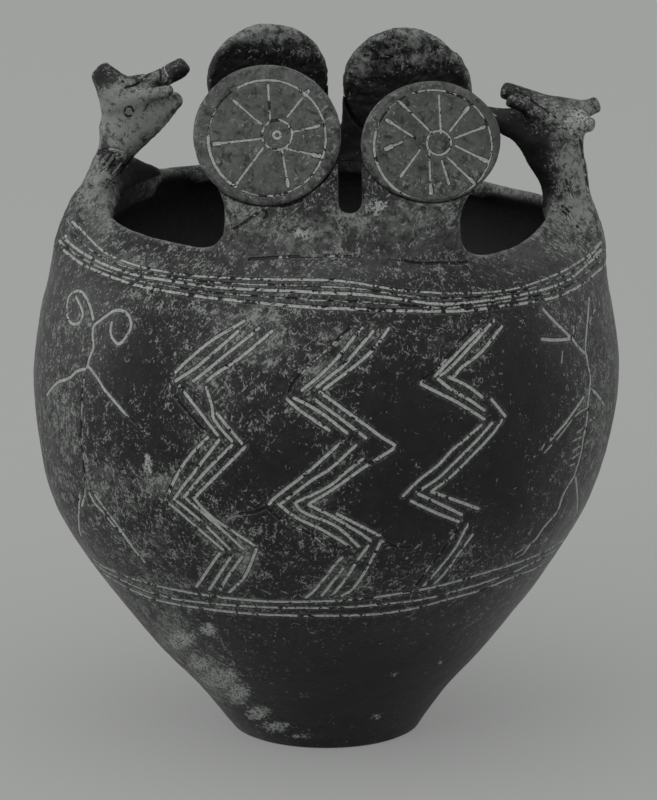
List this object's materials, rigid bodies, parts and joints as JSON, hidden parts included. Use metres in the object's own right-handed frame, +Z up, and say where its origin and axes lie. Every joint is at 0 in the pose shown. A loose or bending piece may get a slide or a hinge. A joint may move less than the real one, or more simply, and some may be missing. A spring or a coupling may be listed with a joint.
{
  "type": "pottery bowl with animal heads and discs on the rim",
  "caption": "Deep hand-built pottery bowl on a narrow flat base, with horned animal heads and pairs of upright spoked discs standing on its rim.",
  "frame": {"origin": "middle of the flat underside of the base", "axes": "+Z up through the mouth, the incised front towards -Y, the animal heads at -X and +X"},
  "size_m": [0.3375, 0.338, 0.4137],
  "materials": {
    "dark_clay": "burnished, worn",
    "polished_clay": "burnished, mottled",
    "scuffed_clay": "worn and dusty"
  },
  "bodies": {
    "root": {"base_disc": "dark_clay", "lower_wall": "dark_clay", "lower_belly_wall": "polished_clay", "upper_belly_wall": "polished_clay", "shoulder_wall": "polished_clay", "rim_ring": "polished_clay", "front_pedestal": "scuffed_clay", "disc_front_left": "scuffed_clay", "disc_front_right": "scuffed_clay", "back_pedestal": "scuffed_clay", "disc_back_left": "scuffed_clay", "disc_back_right": "scuffed_clay", "neck_left": "scuffed_clay", "head_left": "scuffed_clay", "horn_near_left": "scuffed_clay", "horn_far_left": "scuffed_clay", "ear_near_left": "scuffed_clay", "ear_far_left": "scuffed_clay", "neck_right": "scuffed_clay", "head_right": "scuffed_clay", "horn_near_right": "scuffed_clay", "horn_far_right": "scuffed_clay", "ear_near_right": "scuffed_clay", "ear_far_right": "scuffed_clay"}
  },
  "joints": []
}
